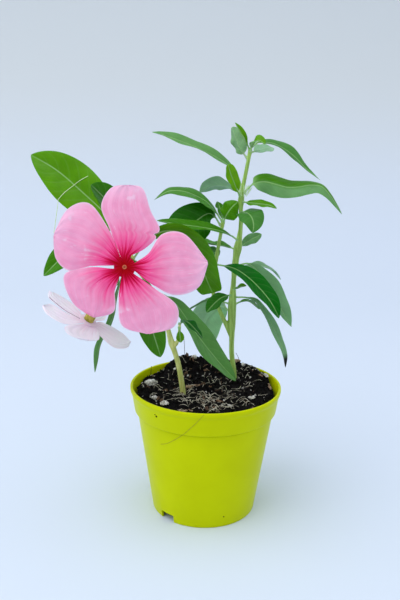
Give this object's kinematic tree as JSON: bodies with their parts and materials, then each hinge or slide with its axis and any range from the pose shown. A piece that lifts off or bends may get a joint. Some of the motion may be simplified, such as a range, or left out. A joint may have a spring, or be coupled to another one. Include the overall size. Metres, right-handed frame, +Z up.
{
  "type": "potted madagascar periwinkle",
  "caption": "Young flowering plant with glossy opposite leaves, an open pink bloom and a fading one, in a small tapered nursery pot of soil.",
  "frame": {"origin": "centre of the pot's underside, on the plane that the pot stands on", "axes": "+Z up the pot's axis, -Y towards the viewer of the picture, +X to the viewer's right"},
  "size_m": [0.1458, 0.0865, 0.1923],
  "materials": {
    "pot_plastic": "satin",
    "potting_soil": "matte",
    "perlite": "matte",
    "root_fibre": "matte",
    "stem_green": "satin",
    "leaf_green": "satin",
    "leaf_young": "satin",
    "petal_pink": "matte",
    "petal_pale": "matte",
    "sepal_green": "satin"
  },
  "bodies": {
    "root": {"pot": "pot_plastic", "soil": "potting_soil", "stem_left": "stem_green", "stem_right": "stem_green", "bloom_main": "petal_pink", "bloom_pale": "petal_pale", "calyx_main": "sepal_green", "calyx_pale": "sepal_green", "leaf_left_1": "leaf_young", "leaf_left_2": "leaf_green", "leaf_left_3": "leaf_green", "leaf_left_4": "leaf_green", "leaf_left_5": "leaf_green", "leaf_left_6": "leaf_green", "leaf_left_7": "leaf_green", "leaf_left_8": "leaf_young", "leaf_left_9": "leaf_green", "leaf_right_1": "leaf_green", "leaf_right_2": "leaf_green", "leaf_right_3": "leaf_green", "leaf_right_4": "leaf_green", "leaf_right_5": "leaf_green", "leaf_right_6": "leaf_young", "leaf_right_7": "leaf_green", "leaf_right_8": "leaf_green", "leaf_right_9": "leaf_green", "leaf_right_10": "leaf_green", "leaf_right_11": "leaf_green", "leaf_right_12": "leaf_young", "leaf_right_13": "leaf_green", "leaf_right_14": "leaf_green", "leaf_right_15": "leaf_green", "leaf_right_16": "leaf_green", "leaf_right_17": "leaf_young", "leaf_right_18": "leaf_green", "leaf_right_19": "leaf_green", "leaf_right_20": "leaf_young", "leaf_right_21": "leaf_young", "leaf_right_22": "leaf_young", "leaf_side_1": "leaf_green", "leaf_side_2": "leaf_green", "leaf_side_3": "leaf_green", "leaf_side_4": "leaf_green", "leaf_side_5": "leaf_green", "leaf_side_6": "leaf_green"}
  },
  "joints": []
}
